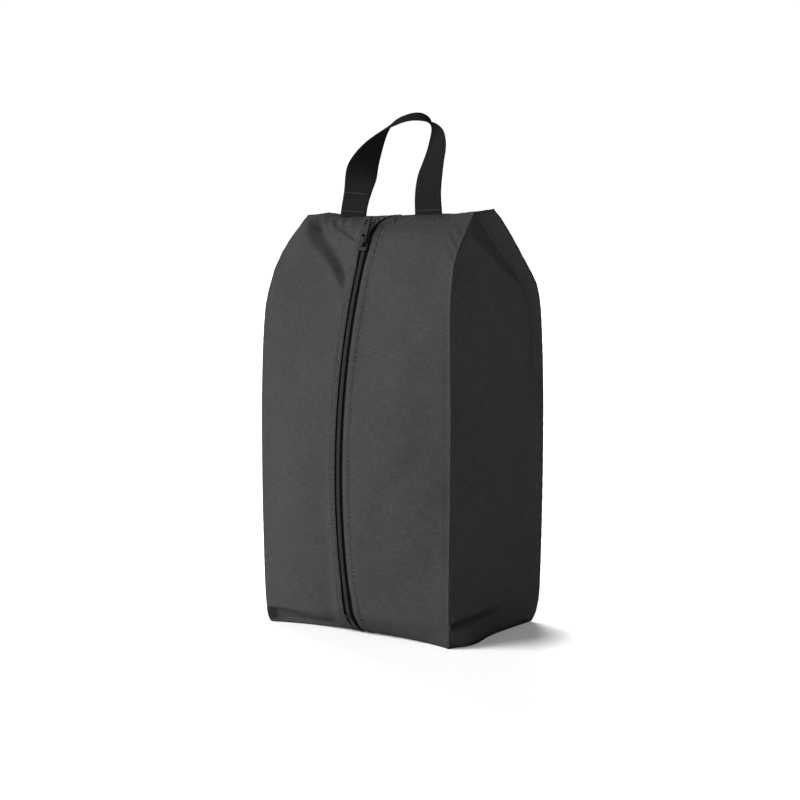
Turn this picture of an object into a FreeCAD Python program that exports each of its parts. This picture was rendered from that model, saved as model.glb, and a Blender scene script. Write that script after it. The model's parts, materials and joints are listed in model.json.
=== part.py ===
import FreeCAD, Part
import os, math

# Shoe bag, upright, millimetres.  +Z up, -Y front (zip side), X across.
# Origin: middle of the footprint box, floor at z = 0.

V = FreeCAD.Vector

# ---- driving dimensions ------------------------------------------------
SKIN = 1.0            # shell cloth, two layers with padding pressed flat at the seams
RIDGE_Z = 388.0       # height of the top panel
RIDGE_F, RIDGE_B = -20.0, 8.0   # front and back seam of the top panel
GAP = 0.5             # seam gap between neighbouring panels
LIP = 5.4             # cloth edge to centre of the zip

ZC_Y, ZC_Z, ZR = 449.0, 150.0, 550.0   # circle that the front run of the zip lies on
SL_TOP, SL_BOT = 360.0, 34.0           # slider height, parked and fully open
FLAP_LO, FLAP_HI = 48.0, 322.0         # part of the front that folds open
BEND_R = 42.9                          # zip bend onto the top

COIL_IN, COIL_OUT = 1.0, 3.2           # half chain: inner and outer edge from the centre
COIL_T = 2.0
TAPE_OUT, TAPE_T = 13.0, 0.6

WEB_W, WEB_T = 30.0, 1.6               # handle webbing
HINGE_Y, HINGE_Z = -22.0, 391.5        # fold line of the handle feet
BULGE_B = 102.2                        # back panel, furthest point

# height, half width, front seam y, back seam y
SEAM = [(1.5, 103.5, -75.5, 69.5), (5.0, 103.8, -76.5, 71.5), (14.0, 104.5, -77.8, 75.5),
        (28.0, 105.0, -79.0, 79.3), (48.0, 105.3, -80.0, 80.0), (120.0, 107.0, -80.5, 80.5),
        (200.0, 107.5, -80.5, 80.5), (260.0, 106.5, -79.5, 80.0), (300.0, 104.8, -77.5, 79.0),
        (322.0, 103.2, -72.0, 75.0), (345.0, 100.5, -62.5, 55.0), (360.0, 98.8, -51.0, 41.0),
        (374.0, 97.0, -38.0, 25.5), (387.5, 95.5, -20.5, 8.5)]


def lerp(table, z, k):
    if z <= table[0][0]:
        return table[0][k]
    for a, b in zip(table, table[1:]):
        if z <= b[0]:
            t = (z - a[0]) / (b[0] - a[0])
            return a[k] + t * (b[k] - a[k])
    return table[-1][k]


def half_w(z): return lerp(SEAM, z, 1)
def y_front(z): return lerp(SEAM, z, 2)
def y_back(z): return lerp(SEAM, z, 3)
def arc_y(z, r): return ZC_Y - math.sqrt(r * r - (z - ZC_Z) ** 2)


PHI_TOP = math.asin((SL_TOP - ZC_Z) / ZR)      # slider parked, above the circle's level
PHI_BOT = math.asin((SL_BOT - ZC_Z) / ZR)
BEND_A = math.pi / 2 - PHI_TOP                 # how far the zip turns over the bend
BEND_Y = arc_y(SL_TOP, ZR) + BEND_R * math.sin(BEND_A)
BEND_Z = SL_TOP - BEND_R * math.cos(BEND_A)


def skin(rows, t=SKIN, flip=False):
    """Solid of even thickness behind an interpolated surface through rows of points."""
    n, m = len(rows), len(rows[0])
    inner = []
    for i in range(n):
        line = []
        for j in range(m):
            du = rows[min(i + 1, n - 1)][j] - rows[max(i - 1, 0)][j]
            dv = rows[i][min(j + 1, m - 1)] - rows[i][max(j - 1, 0)]
            nn = du.cross(dv)
            nn.normalize()
            if flip:
                nn = nn * -1
            line.append(rows[i][j] - nn * t)
        inner.append(line)
    faces, grids = [], []
    for g in (rows, inner):
        s = Part.BSplineSurface()
        s.interpolate(g)
        faces.append(s.toShape())
        grids.append(s)
    so, si = grids
    u0, u1, v0, v1 = so.bounds()
    a0, a1, b0, b1 = si.bounds()
    for eo, ei in ((so.uIso(u0), si.uIso(a0)), (so.uIso(u1), si.uIso(a1)),
                   (so.vIso(v0), si.vIso(b0)), (so.vIso(v1), si.vIso(b1))):
        faces.append(Part.makeRuledSurface(eo.toShape(), ei.toShape()))
    shell = Part.makeShell(faces)
    shell.sewShape(0.01)
    sol = Part.makeSolid(Part.Shell(shell.Faces))
    if sol.Volume < 0:
        sol.reverse()
    return sol


def ring(x0, x1, r0, r1, z0, z1):
    """Block swept along the zip circle between two heights."""
    p0, p1 = math.asin((z0 - ZC_Z) / ZR), math.asin((z1 - ZC_Z) / ZR)
    f = Part.makePolygon([V(x0, ZC_Y - r0, ZC_Z), V(x1, ZC_Y - r0, ZC_Z), V(x1, ZC_Y - r1, ZC_Z),
                          V(x0, ZC_Y - r1, ZC_Z), V(x0, ZC_Y - r0, ZC_Z)])
    f = Part.Face(f)
    f.rotate(V(0, ZC_Y, ZC_Z), V(1, 0, 0), -math.degrees(p0))
    return f.revolve(V(0, ZC_Y, ZC_Z), V(1, 0, 0), -math.degrees(p1 - p0))


def bend(x0, x1, d0, d1, y_end):
    """The same block carried over the bend and along the top; d is height over the zip circle."""
    r0, r1 = BEND_R + d0, BEND_R + d1
    f = Part.Face(Part.makePolygon([V(x0, BEND_Y, BEND_Z + r0), V(x1, BEND_Y, BEND_Z + r0),
                                    V(x1, BEND_Y, BEND_Z + r1), V(x0, BEND_Y, BEND_Z + r1),
                                    V(x0, BEND_Y, BEND_Z + r0)]))
    arc = f.revolve(V(0, BEND_Y, BEND_Z), V(1, 0, 0), math.degrees(BEND_A))
    flat = f.extrude(V(0, y_end - BEND_Y, 0))
    return arc.fuse(flat)


def front_rows(sgn, zs):
    rows = []
    for z in zs:
        w = half_w(z) - GAP * 1.6
        yc, ys = arc_y(z, ZR + 1.2), y_front(z)
        rows.append([V(sgn * x, yc + (ys - yc) * ((x - LIP) / (w - LIP)) ** 2, z)
                     for x in (LIP, 22, 42, 62, 80, 94, w)])
    return rows


nodes = {}

# ---- front: two folding halves -----------------------------------------
ZS = [FLAP_LO, 80, 120, 160, 200, 240, 280, 305, FLAP_HI]
nodes["front_left_panel"] = skin(front_rows(-1, ZS))
nodes["front_right_panel"] = skin(front_rows(1, ZS), flip=True)

# ---- front above the fold, over the bend to the top seam ----------------
def upper_rows(sgn):
    rows = []
    for z in (FLAP_HI + 0.6, 340.0, SL_TOP - 4):
        w = half_w(z) - GAP
        yc, ys = arc_y(z, ZR + 1.2), y_front(z)
        rows.append([V(sgn * x, yc + (ys - yc) * ((x - LIP) / (w - LIP)) ** 2, z)
                     for x in (LIP, 22, 42, 62, 80, w)])
    for k, zs in ((0.80, 367.0), (0.50, 375.5), (0.24, 382.5), (0.0, 387.5)):
        a = BEND_A * k
        yc = BEND_Y - (BEND_R + 1.2) * math.sin(a)
        zc = BEND_Z + (BEND_R + 1.2) * math.cos(a)
        yc, zc = min(yc, RIDGE_F - GAP), min(zc, RIDGE_Z - 0.1)
        w = half_w(zs) - GAP
        ys = y_front(zs)
        row = []
        for x in (LIP, 22, 42, 62, 80, w):
            q = ((x - LIP) / (w - LIP)) ** 2
            row.append(V(sgn * x, yc + (ys - yc) * q, zc + (zs - zc) * q))
        rows.append(row)
    return rows


nodes["front_upper_left"] = skin(upper_rows(-1))
nodes["front_upper_right"] = skin(upper_rows(1), flip=True)

# ---- front below the fold, tucked under at the bottom edge --------------
def lower_rows(sgn):
    rows = []
    for zc, yc, zs in ((1.6, -60.0, 1.6), (4.5, -69.0, 5.0), (12.0, -78.5, 14.0),
                       (22.0, arc_y(22, ZR + 1.2), 24.0), (34.0, arc_y(34, ZR + 1.2), 35.0),
                       (FLAP_LO - 0.6, arc_y(FLAP_LO - 0.6, ZR + 1.2), FLAP_LO - 0.6)):
        w = half_w(zs) - GAP
        ys = y_front(zs)
        row = []
        for x in (LIP, 22, 42, 62, 80, w):
            q = ((x - LIP) / (w - LIP)) ** 2
            row.append(V(sgn * x, yc + (ys - yc) * q, zc + (zs - zc) * q))
        rows.append(row)
    return rows


nodes["front_lower_left"] = skin(lower_rows(-1))
nodes["front_lower_right"] = skin(lower_rows(1), flip=True)

# ---- back ---------------------------------------------------------------
def back_rows():
    rows = []
    for zs, yc, zc in ((1.5, 67.0, 1.5), (5.0, 73.0, 5.0), (20.0, 87.0, 20.0), (50.0, 96.5, 50.0),
                       (100.0, 101.0, 100.0), (150.0, BULGE_B, 150.0), (200.0, 101.0, 200.0),
                       (260.0, 97.0, 260.0), (300.0, 91.5, 300.0), (324.0, 83.0, 324.0),
                       (345.0, 64.0, 347.0), (360.0, 49.0, 363.0), (374.0, 30.0, 377.0),
                       (387.3, RIDGE_B + GAP, 387.3)):
        w = half_w(zs) - GAP
        ys = y_back(zs)
        row = []
        for x in (-w, -80, -50, -25, 0, 25, 50, 80, w):
            q = (abs(x) / w) ** 2
            row.append(V(x, yc + (ys - yc) * q, zc + (zs - zc) * q))
        rows.append(row)
    return rows


nodes["back_panel"] = skin(back_rows(), flip=False)

# ---- side gussets -------------------------------------------------------
def gusset_rows(sgn):
    rows = []
    for z in (1.5, 5, 14, 30, 48, 90, 120, 160, 200, 240, 280, 300, 322, 338, 352, 366, 376, 387.0):
        a, b = y_front(z) + 1.9, y_back(z) - 1.9
        row = []
        for k in (0, 0.15, 0.35, 0.5, 0.65, 0.85, 1.0):
            out = 2.6 * math.sin(math.pi * k) * max(0.0, min(1.0, (387.0 - z) / 90.0))
            row.append(V(sgn * (half_w(z) + 0.1 + out), a + (b - a) * k, z))
        rows.append(row)
    return rows


nodes["side_gusset_left"] = skin(gusset_rows(-1))
nodes["side_gusset_right"] = skin(gusset_rows(1), flip=True)

# ---- top and bottom -----------------------------------------------------
top = Part.makeBox(190.0, RIDGE_B - RIDGE_F, SKIN, V(-95.0, RIDGE_F, RIDGE_Z - SKIN))
top = top.cut(Part.makeBox(2 * LIP, 15.0, 4.0, V(-LIP, RIDGE_F - 1, RIDGE_Z - 2.5)))
nodes["top_panel"] = top
bot = Part.Face(Part.makePolygon([V(-103, -74.5, 0), V(-60, -66.0, 0), V(-LIP, -59.5, 0), V(LIP, -59.5, 0),
                                  V(60, -66.0, 0), V(103, -74.5, 0), V(102.6, 68.0, 0), V(60, 66.0, 0),
                                  V(-60, 66.0, 0), V(-102.6, 68.0, 0),
                                  V(-103, -74.5, 0)]))
nodes["bottom_panel"] = bot.extrude(V(0, 0, SKIN))

# ---- zip chain: tapes and coils -----------------------------------------
for name, s in (("left", -1), ("right", 1)):
    t0, t1 = sorted((s * COIL_IN, s * TAPE_OUT))
    c0, c1 = sorted((s * COIL_IN, s * COIL_OUT))
    nodes["zip_tape_" + name] = ring(t0, t1, ZR - 0.8, ZR - 0.2, FLAP_LO, FLAP_HI)
    nodes["zip_coil_" + name] = ring(c0, c1, ZR, ZR + COIL_T, FLAP_LO, FLAP_HI)
    e0, e1 = sorted((s * COIL_IN, s * (LIP - 0.4)))
    nodes["zip_tape_foot_" + name] = ring(e0, e1, ZR - 0.8, ZR - 0.2, 20.0, FLAP_LO - 0.6)
    nodes["zip_coil_foot_" + name] = ring(c0, c1, ZR, ZR + COIL_T, 21.6, FLAP_LO - 0.6)
    nodes["zip_tape_head_" + name] = ring(e0, e1, ZR - 0.8, ZR - 0.2, FLAP_HI + 0.6, SL_TOP).fuse(
        bend(e0, e1, -0.8, -0.2, -7.0))
    nodes["zip_coil_head_" + name] = ring(c0, c1, ZR, ZR + COIL_T, FLAP_HI + 0.6, SL_TOP).fuse(
        bend(c0, c1, 0.0, COIL_T, -9.0))
nodes["zip_stop_bottom"] = ring(-3.4, 3.4, ZR, ZR + COIL_T + 0.4, 18.6, 21.3)
nodes["zip_stop_top"] = Part.makeBox(6.8, 1.6, COIL_T + 0.4, V(-3.4, -8.6, BEND_Z + BEND_R))

# ---- slider and its pull -------------------------------------------------
# Built level with the circle's centre, then turned up to its parked place.
def at(x0, x1, u0, u1, n0, n1):
    """Box across x, along the travel u and out of the bag n."""
    return Part.makeBox(x1 - x0, n1 - n0, u1 - u0, V(x0, ZC_Y - ZR - n1, ZC_Z + u0))


def park(shape):
    shape.rotate(V(0, ZC_Y, ZC_Z), V(1, 0, 0), -math.degrees(PHI_TOP))
    return shape


PIN_U, PIN_N = 1.0, 5.6            # pull pin in the slider's bridge
body = at(-4.6, 4.6, -7, 7, 2.5, 3.7)                      # front plate
body = body.fuse(at(-4.6, 4.6, -7, 7, -3.2, -2.0))         # back plate
body = body.fuse(at(-0.6, 0.6, 1.5, 6.5, -2.5, 3.0))       # wedge between the two half chains
for s in (-1, 1):
    x0, x1 = sorted((s * 3.7, s * 4.6))
    body = body.fuse(at(x0, x1, -7, 7, 0.4, 3.0))          # side rails
body = body.fuse(at(-1.5, 1.5, -3.5, 5.5, 3.7, 7.0))       # bridge
body = body.cut(at(-2, 2, -2.0, 4.0, 3.9, 4.3))
hole = Part.makeCylinder(0.85, 6.0, V(-3, ZC_Y - ZR - PIN_N, ZC_Z + PIN_U), V(1, 0, 0))
body = body.cut(hole)
nodes["slider_body"] = park(body)

tab = Part.makeCylinder(0.8, 7.0, V(-3.5, ZC_Y - ZR - PIN_N, ZC_Z + PIN_U), V(1, 0, 0))
frame = at(-3.5, 3.5, PIN_U - 0.8, 25.0, PIN_N - 0.8, PIN_N + 0.8)
frame = frame.cut(at(-1.9, 1.9, PIN_U - 3.0, 8.2, PIN_N - 2, PIN_N + 2))
frame = frame.cut(at(-1.7, 1.7, 17.0, 22.0, PIN_N - 2, PIN_N + 2))
nodes["pull_tab"] = park(tab.fuse(frame))

# ---- handle: one twisted loop of webbing ---------------------------------
# front edge and back edge of the webbing, foot to foot
EDGE_F = [(-56.0, -22.8, 389.1),
          (-55.6, -21.4, 398.7),
          (-54.9, -19.6, 408.3),
          (-53.8, -19.1, 418.0),
          (-51.2, -21.0, 427.3),
          (-46.3, -24.5, 435.3),
          (-39.7, -26.9, 442.3),
          (-32.2, -28.6, 448.3),
          (-24.1, -29.7, 453.6),
          (-15.7, -30.3, 458.5),
          (-7.0, -30.3, 462.8),
          (2.0, -29.7, 466.5),
          (11.2, -28.8, 469.6),
          (20.4, -27.6, 472.5),
          (29.8, -25.8, 474.0),
          (39.0, -22.7, 473.4),
          (47.2, -18.1, 471.3),
          (53.2, -13.6, 465.5),
          (56.0, -12.7, 456.3),
          (57.5, -14.2, 446.7),
          (58.0, -17.2, 437.3),
          (58.4, -20.1, 427.8),
          (58.8, -22.5, 418.3),
          (59.1, -24.0, 408.5),
          (59.5, -24.0, 398.5),
          (59.8, -23.1, 388.6)]
EDGE_B = [(-26.1, -22.8, 388.5),
          (-25.5, -20.9, 397.0),
          (-25.0, -17.2, 405.7),
          (-24.9, -13.1, 414.2),
          (-26.1, -7.6, 421.6),
          (-28.4, -2.1, 428.8),
          (-28.3, 0.5, 437.7),
          (-25.8, 0.8, 446.9),
          (-22.4, 0.2, 455.9),
          (-18.1, -1.0, 464.5),
          (-12.2, -2.2, 472.1),
          (-4.6, -2.7, 477.9),
          (4.3, -1.9, 481.1),
          (13.5, -0.4, 483.2),
          (22.3, 2.1, 482.4),
          (28.5, 5.2, 476.8),
          (29.3, 5.6, 467.8),
          (29.1, 3.0, 458.7),
          (29.2, -0.7, 450.0),
          (29.2, -5.5, 441.7),
          (29.0, -10.6, 433.7),
          (28.8, -15.7, 425.6),
          (29.0, -19.1, 416.6),
          (29.3, -21.5, 407.2),
          (29.7, -22.9, 397.8),
          (29.9, -22.8, 388.5)]


def ribbon(front, back, t):
    wires, n = [], len(front)
    mids = [(V(*f) + V(*b)) * 0.5 for f, b in zip(front, back)]
    for i in range(n):
        tan = mids[min(i + 1, n - 1)] - mids[max(i - 1, 0)]
        if i == 0:
            tan = V(0, 0, 1)
        if i == n - 1:
            tan = V(0, 0, -1)
        tan.normalize()
        wd = V(*back[i]) - V(*front[i])
        wd = wd - tan * wd.dot(tan)
        wd.normalize()
        nn = tan.cross(wd) * (t / 2)
        c, h = mids[i], wd * (WEB_W / 2)
        p = [c - h - nn, c + h - nn, c + h + nn, c - h + nn]
        wires.append(Part.makePolygon(p + [p[0]]))
    return Part.makeLoft(wires, True, True)


# the sewn ends start above the fold line's clearance
pick = [0, 2, 3, 4, 5, 6, 7, 8, 9, 10, 11, 12, 13, 14, 15, 16, 17, 18, 19, 20, 21, 23, 25]
ef, eb = [EDGE_F[i] for i in pick], [EDGE_B[i] for i in pick]
for e in (ef, eb):
    for k in (0, -1):
        e[k] = (e[k][0], HINGE_Y, 389.8)
nodes["handle_webbing"] = ribbon(ef, eb, WEB_T)
for name, x in (("left", -41.2), ("right", 44.8)):
    nodes["handle_seam_" + name] = Part.makeBox(WEB_W, 2.0, 0.9, V(x - WEB_W / 2, HINGE_Y - 1.0, RIDGE_Z))

# ---- bound seam allowances inside, along the back corners -----------------
for name, s in (("left", -1), ("right", 1)):
    x0, x1 = sorted((s * 98.6, s * 101.6))
    nodes["seam_binding_" + name] = Part.makeBox(3.0, 3.0, 252.0, V(x0, 73.0, 32.0))

os.makedirs("parts", exist_ok=True)
for key, shape in nodes.items():
    shape.exportStep("parts/" + key + ".step")
    bb = shape.BoundBox
    print("%-22s %s vol %9.1f  x %.1f %.1f  y %.1f %.1f  z %.1f %.1f" % (
        key, shape.isValid(), shape.Volume, bb.XMin, bb.XMax, bb.YMin, bb.YMax, bb.ZMin, bb.ZMax))
print("pull pin", [round(c, 3) for c in (lambda p: (p.y, p.z))(
    FreeCAD.Rotation(V(1, 0, 0), -math.degrees(PHI_TOP)).multVec(V(0, -ZR - PIN_N, PIN_U)) + V(0, ZC_Y, ZC_Z))],
    "travel", round(math.degrees(PHI_TOP - PHI_BOT), 2), "bend", round(BEND_Y, 2), round(BEND_Z, 2))
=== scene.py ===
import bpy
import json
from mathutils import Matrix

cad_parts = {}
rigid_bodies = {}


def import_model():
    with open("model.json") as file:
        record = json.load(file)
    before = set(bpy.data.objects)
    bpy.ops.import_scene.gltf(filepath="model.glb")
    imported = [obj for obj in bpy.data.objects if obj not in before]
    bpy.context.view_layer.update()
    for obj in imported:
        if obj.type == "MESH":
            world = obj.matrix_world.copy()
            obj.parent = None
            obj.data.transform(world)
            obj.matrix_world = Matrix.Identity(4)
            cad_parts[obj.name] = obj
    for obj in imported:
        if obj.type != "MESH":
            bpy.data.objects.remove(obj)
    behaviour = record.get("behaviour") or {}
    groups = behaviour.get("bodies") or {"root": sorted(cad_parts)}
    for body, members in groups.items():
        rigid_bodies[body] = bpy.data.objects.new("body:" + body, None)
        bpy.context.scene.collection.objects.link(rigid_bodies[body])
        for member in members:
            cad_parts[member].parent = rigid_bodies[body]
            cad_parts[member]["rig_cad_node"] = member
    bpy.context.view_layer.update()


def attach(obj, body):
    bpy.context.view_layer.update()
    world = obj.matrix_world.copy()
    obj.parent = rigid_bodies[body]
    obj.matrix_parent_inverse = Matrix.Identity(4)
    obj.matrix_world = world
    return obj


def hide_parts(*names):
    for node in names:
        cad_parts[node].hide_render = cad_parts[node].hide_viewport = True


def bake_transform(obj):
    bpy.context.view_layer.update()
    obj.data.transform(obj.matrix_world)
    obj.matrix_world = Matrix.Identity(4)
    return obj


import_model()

import bpy, math, json
import numpy as np
from mathutils import Vector

MM = 0.001

# ------------------------------------------------------------------ tables
# height, half width, front seam y, back seam y (mm)
SEAM = np.array([
    (0.6, 102.6, -75.0, 69.0), (4.0, 103.8, -76.5, 71.0), (10.0, 104.6, -77.8, 74.2), (20.0, 105.1, -78.6, 77.6),
    (34.0, 105.4, -79.5, 79.6), (60.0, 105.9, -80.2, 80.2), (90.0, 106.5, -80.5, 80.5), (125.0, 107.2, -80.6, 80.5),
    (160.0, 107.5, -80.6, 80.5), (200.0, 107.6, -80.5, 80.5), (240.0, 107.0, -80.1, 80.3), (270.0, 106.2, -79.3, 79.9),
    (300.0, 104.9, -77.5, 79.0), (312.0, 104.0, -75.4, 77.6), (324.0, 102.9, -72.0, 74.2), (338.0, 101.2, -66.8, 63.5),
    (351.0, 99.6, -59.0, 52.0), (360.0, 98.6, -51.5, 43.0), (368.0, 97.6, -43.4, 34.0), (376.0, 96.7, -35.4, 24.5),
    (383.0, 96.0, -28.6, 15.0), (387.6, 95.4, -23.6, 8.6)])
ZC_Y, ZC_Z = 449.0, 150.0


def smooth_interp(x, xp, fp):
    """Monotone cubic through the table rows."""
    xp, fp, x = np.asarray(xp, float), np.asarray(fp, float), np.asarray(x, float)
    h = np.diff(xp)
    d = np.diff(fp) / h
    m = np.zeros_like(fp)
    m[1:-1] = np.where(d[:-1] * d[1:] > 0, 2 * d[:-1] * d[1:] / np.where(np.abs(d[:-1] + d[1:]) < 1e-12, 1, d[:-1] + d[1:]), 0)
    m[0], m[-1] = d[0], d[-1]
    i = np.clip(np.searchsorted(xp, x) - 1, 0, len(xp) - 2)
    t = np.clip((x - xp[i]) / h[i], 0, 1)
    return ((2 * t**3 - 3 * t**2 + 1) * fp[i] + (t**3 - 2 * t**2 + t) * h[i] * m[i]
            + (-2 * t**3 + 3 * t**2) * fp[i + 1] + (t**3 - t**2) * h[i] * m[i + 1])


def arc_y(z, r=551.2):
    return ZC_Y - np.sqrt(r * r - (np.asarray(z, float) - ZC_Z) ** 2)


# The zip line (lip surface), bottom seam to the end of the zip on the top: pairs y, z.
_za = np.linspace(24, 362, 60)
LIPLINE = np.array([(-57.5, 0.8), (-64.5, 1.6), (-71.0, 4.4), (-76.8, 8.6), (-81.8, 14.0), (-85.6, 19.5)]
                   + [(float(arc_y(z)), float(z)) for z in _za]
                   + [(-58.2, 366.0), (-53.6, 372.6), (-47.2, 378.2), (-39.5, 382.4), (-31.0, 385.3), (-22.0, 387.2)])
# The seam side of the same rows.
_zs = smooth_interp(_za, [24, 120, 240, 300, 330, 350, 362], [24, 120, 240, 300, 327, 344, 353.5])
SEAMLINE = np.array([(0.6), (1.6), (5.0), (9.5), (14.5), (19.5)] + list(_zs) + [358.5, 365.0, 371.5, 377.5, 382.8, 387.6])


def resample(line, other, n):
    """Even steps along line's own length, and other at the same steps."""
    s = np.r_[0, np.cumsum(np.linalg.norm(np.diff(line, axis=0), axis=1))]
    t = np.linspace(0, s[-1], n)
    return (np.stack([np.interp(t, s, line[:, k]) for k in range(line.shape[1])], 1), np.interp(t, s, other), t)


# ------------------------------------------------------------------ noise
def field(seed, n, lo, hi):
    """A smooth random field: n plane waves between two wavelengths (mm)."""
    r = np.random.RandomState(seed)
    ang, lam, ph = r.uniform(0, 2 * np.pi, n), r.uniform(lo, hi, n), r.uniform(0, 2 * np.pi, n)
    kx, ky = 2 * np.pi / lam * np.cos(ang), 2 * np.pi / lam * np.sin(ang)
    amp = 1.0 / math.sqrt(n / 2)

    def f(a, b):
        out = np.zeros(np.broadcast(a, b).shape)
        for i in range(n):
            out += np.sin(kx[i] * a + ky[i] * b + ph[i])
        return out * amp
    return f


def ripple(seed, lam, jitter=0.35):
    """Uneven waves along one line."""
    r = np.random.RandomState(seed)
    ls = lam * (1 + jitter * r.uniform(-1, 1, 6))
    ph = r.uniform(0, 2 * np.pi, 6)

    def f(s):
        return sum(np.sin(2 * np.pi * s / l + p) for l, p in zip(ls, ph)) / 2.4
    return f


def bump01(x, w):
    return np.exp(-(x / w) ** 2)


def sstep(x, a, b):
    t = np.clip((x - a) / (b - a), 0, 1)
    return t * t * (3 - 2 * t)


def polyline_dist(px, pz, line):
    """Signed distance to a polyline (positive to its right when walked), and how far along, 0 to 1."""
    line = np.array(line, float)
    seg = np.linalg.norm(np.diff(line, axis=0), axis=1)
    acc = np.r_[0, np.cumsum(seg)] / seg.sum()
    best, sd, al = np.full(px.shape, 1e9), np.zeros(px.shape), np.zeros(px.shape)
    for i in range(len(line) - 1):
        a, b = line[i], line[i + 1]
        d = b - a
        L = d @ d
        t = np.clip(((px - a[0]) * d[0] + (pz - a[1]) * d[1]) / L, 0, 1)
        qx, qz = px - (a[0] + t * d[0]), pz - (a[1] + t * d[1])
        dist = np.hypot(qx, qz)
        sign = np.sign(d[1] * qx - d[0] * qz)
        m = dist < best
        best = np.where(m, dist, best)
        sd = np.where(m, dist * sign, sd)
        al = np.where(m, acc[i] + t * (acc[i + 1] - acc[i]), al)
    return sd, al


# ------------------------------------------------------------------ meshes
def normals(P):
    du = np.gradient(P, axis=0)
    dv = np.gradient(P, axis=1)
    n = np.cross(du, dv)
    return n / np.maximum(np.linalg.norm(n, axis=2, keepdims=True), 1e-9)


def make_obj(name, verts, faces, mat, uv=None, smooth=True):
    me = bpy.data.meshes.new(name)
    me.from_pydata([tuple(v) for v in np.asarray(verts, float) * MM], [], [tuple(int(i) for i in f) for f in faces])
    if uv is not None:
        layer = me.uv_layers.new(name="UVMap")
        idx = np.zeros(len(me.loops), int)
        me.loops.foreach_get("vertex_index", idx)
        layer.data.foreach_set("uv", np.asarray(uv, float)[idx].astype(np.float32).ravel())
    me.polygons.foreach_set("use_smooth", [smooth] * len(me.polygons))
    me.materials.append(mat)
    me.validate()
    me.update()
    ob = bpy.data.objects.new(name, me)
    bpy.context.scene.collection.objects.link(ob)
    return ob


def sheet_obj(name, P, uv, mat, t=1.0, flip=False, rims=(1, 1, 1, 1)):
    """A cloth panel with thickness from a grid of outer points (mm). rims: row start, row end, column start, column end."""
    n, m = P.shape[:2]
    N = normals(P) * (-1 if flip else 1)
    Q = P - N * t
    V = np.concatenate([P.reshape(-1, 3), Q.reshape(-1, 3)])
    UV = np.concatenate([uv.reshape(-1, 2)] * 2)
    i, j = np.meshgrid(np.arange(n - 1), np.arange(m - 1), indexing="ij")
    a = (i * m + j).ravel()
    quad = np.stack([a, a + m, a + m + 1, a + 1], 1)
    if flip:
        quad = quad[:, ::-1]
    faces = [quad, quad[:, ::-1] + n * m]
    k = n * m

    def rim(idx, rev):
        idx = np.array(idx)
        f = np.stack([idx[:-1], idx[1:], idx[1:] + k, idx[:-1] + k], 1)
        return f[:, ::-1] if rev else f
    if rims[0]: faces.append(rim(np.arange(m), not flip))
    if rims[1]: faces.append(rim((n - 1) * m + np.arange(m), flip))
    if rims[2]: faces.append(rim(np.arange(n) * m, flip))
    if rims[3]: faces.append(rim(np.arange(n) * m + m - 1, not flip))
    return make_obj(name, V, np.concatenate(faces), mat, UV)


# ------------------------------------------------------------------ materials
def new_mat(name):
    m = bpy.data.materials.new(name)
    m.use_nodes = True
    nt = m.node_tree
    bs = nt.nodes["Principled BSDF"]
    return m, nt, bs


def link(nt, a, b):
    nt.links.new(a, b)


def math_node(nt, op, a=None, b=None, c=None):
    n = nt.nodes.new("ShaderNodeMath")
    n.operation = op
    for k, v in enumerate((a, b, c)):
        if v is None:
            continue
        if isinstance(v, (int, float)):
            n.inputs[k].default_value = v
        else:
            link(nt, v, n.inputs[k])
    return n.outputs[0]


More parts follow.
